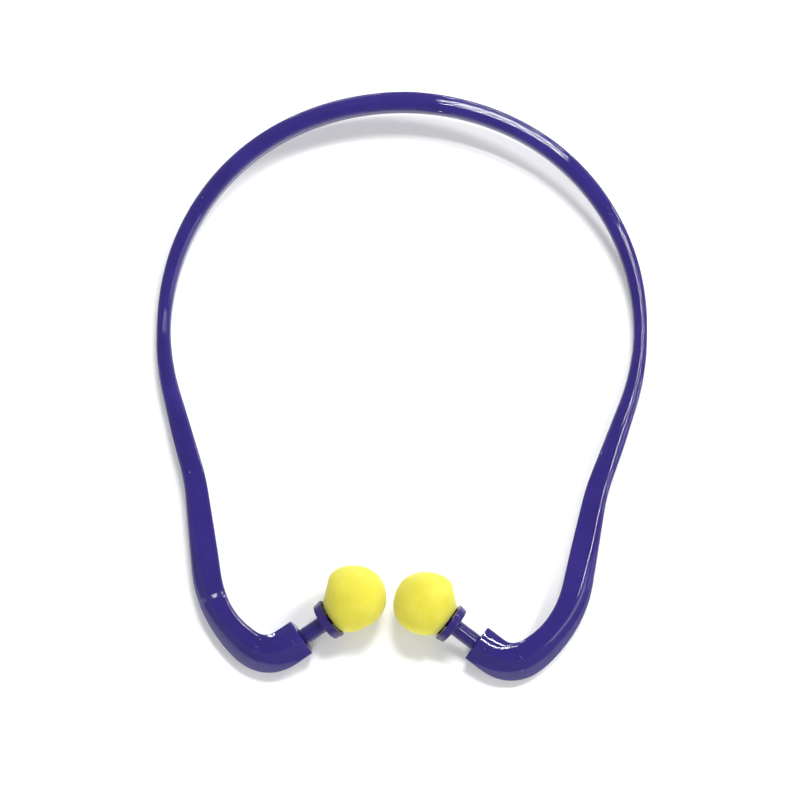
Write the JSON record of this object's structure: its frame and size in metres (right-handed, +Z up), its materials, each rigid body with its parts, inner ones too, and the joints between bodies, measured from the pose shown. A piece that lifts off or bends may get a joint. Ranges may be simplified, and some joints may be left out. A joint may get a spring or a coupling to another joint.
{
  "type": "banded ear plugs",
  "caption": "Springy plastic headband, worn round the head or under the chin, whose hooked ends hold turnable stems with soft foam ear plug balls.",
  "frame": {"origin": "centre of the bounding box in plan, on the surface that the band lies on", "axes": "+X across the head, +Y from the ear plugs towards the crown of the band, +Z up from the surface"},
  "size_m": [0.1404, 0.1672, 0.0177],
  "materials": {
    "band_plastic": "glossy moulded dark violet-blue plastic",
    "stem_plastic": "satin moulded violet-blue plastic",
    "yellow_foam": "matte fine-celled soft foam, bright yellow"
  },
  "bodies": {
    "crown": {"band_crown": "band_plastic"},
    "left_arm": {"band_arm_left": "band_plastic"},
    "right_arm": {"band_arm_right": "band_plastic"},
    "left_pod": {"pod_stem_left": "stem_plastic", "foam_ball_left": "yellow_foam"},
    "right_pod": {"pod_stem_right": "stem_plastic", "foam_ball_right": "yellow_foam"}
  },
  "joints": [
    {"name": "left_band_flex", "type": "hinge", "parent": "crown", "child": "left_arm", "pos_m": [-0.05117, 0.06281, 0.0084], "axis": [0, 0, -1], "range_deg": [0, 30], "stiffness_Nm_per_rad": 0.4},
    {"name": "right_band_flex", "type": "hinge", "parent": "crown", "child": "right_arm", "pos_m": [0.05117, 0.06281, 0.0084], "axis": [0, 0, 1], "range_deg": [0, 30], "stiffness_Nm_per_rad": 0.4},
    {"name": "left_pod_turn", "type": "hinge", "parent": "left_arm", "child": "left_pod", "pos_m": [-0.02457, -0.07315, 0.0052], "axis": [0.8013, 0.561, 0.2079], "continuous": true},
    {"name": "right_pod_turn", "type": "hinge", "parent": "right_arm", "child": "right_pod", "pos_m": [0.02457, -0.07315, 0.0052], "axis": [-0.8013, 0.561, 0.2079], "continuous": true}
  ]
}
